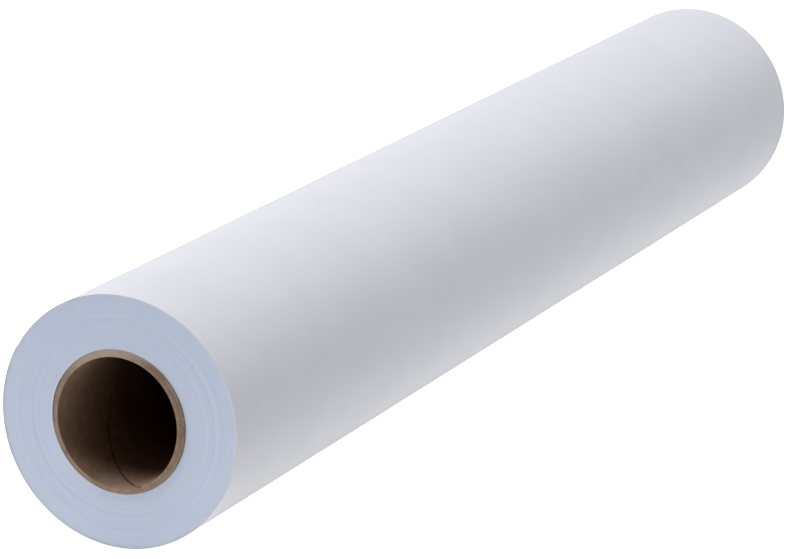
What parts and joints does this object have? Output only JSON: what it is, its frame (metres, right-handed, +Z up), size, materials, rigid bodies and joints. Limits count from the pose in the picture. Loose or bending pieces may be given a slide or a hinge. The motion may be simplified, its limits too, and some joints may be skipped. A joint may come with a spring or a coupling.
{
  "type": "backdrop paper roll",
  "caption": "Roll of white seamless background paper wound on a spiral-wound board core, with a free end that peels off the roll.",
  "frame": {"origin": "middle of the core's bore, halfway along the roll", "axes": "+Y along the bore, from the near end in the picture to the far end; +Z up; the free end is on the -X side"},
  "size_m": [0.105, 0.66, 0.1049],
  "materials": {
    "paper": "matt",
    "core_board": "grey-brown recycled board",
    "core_liner": "brown kraft",
    "start_tape": "gummed kraft tape",
    "tail_tape": "translucent matt film"
  },
  "bodies": {
    "roll": {"core_inner_ply": "core_liner", "core_ply_2": "core_board", "core_ply_3": "core_board", "core_ply_4": "core_board", "core_outer_ply": "core_liner", "start_tape": "start_tape", "paper_winding": "paper"},
    "free_end_1": {"tail_1": "paper"},
    "free_end_2": {"tail_2": "paper"},
    "free_end_3": {"tail_3": "paper"},
    "free_end_4": {"tail_4": "paper"},
    "free_end_5": {"tail_5": "paper"},
    "free_end_6": {"tail_6": "paper", "tail_tab_left": "tail_tape", "tail_tab_middle": "tail_tape", "tail_tab_right": "tail_tape"}
  },
  "joints": [
    {"name": "tail_peel_1", "type": "hinge", "parent": "roll", "child": "free_end_1", "pos_m": [0, 0, -0.0525], "axis": [0, -1, 0], "range_deg": [0, 9], "stiffness_Nm_per_rad": 0.17},
    {"name": "tail_peel_2", "type": "hinge", "parent": "free_end_1", "child": "free_end_2", "pos_m": [-0.01796, 0, -0.04933], "axis": [0, -1, 0], "range_deg": [0, 18], "stiffness_Nm_per_rad": 0.17},
    {"name": "tail_peel_3", "type": "hinge", "parent": "free_end_2", "child": "free_end_3", "pos_m": [-0.03375, 0, -0.04022], "axis": [0, -1, 0], "range_deg": [0, 18], "stiffness_Nm_per_rad": 0.17},
    {"name": "tail_peel_4", "type": "hinge", "parent": "free_end_3", "child": "free_end_4", "pos_m": [-0.04547, 0, -0.02625], "axis": [0, -1, 0], "range_deg": [0, 18], "stiffness_Nm_per_rad": 0.17},
    {"name": "tail_peel_5", "type": "hinge", "parent": "free_end_4", "child": "free_end_5", "pos_m": [-0.0517, 0, -0.00912], "axis": [0, -1, 0], "range_deg": [0, 18], "stiffness_Nm_per_rad": 0.17},
    {"name": "tail_peel_6", "type": "hinge", "parent": "free_end_5", "child": "free_end_6", "pos_m": [-0.0517, 0, 0.00912], "axis": [0, -1, 0], "range_deg": [0, 18], "stiffness_Nm_per_rad": 0.17}
  ],
  "couplings": [
    {"joint": "tail_peel_2", "follows": "tail_peel_1", "ratio": 2},
    {"joint": "tail_peel_3", "follows": "tail_peel_1", "ratio": 2},
    {"joint": "tail_peel_4", "follows": "tail_peel_1", "ratio": 2},
    {"joint": "tail_peel_5", "follows": "tail_peel_1", "ratio": 2},
    {"joint": "tail_peel_6", "follows": "tail_peel_1", "ratio": 2}
  ]
}
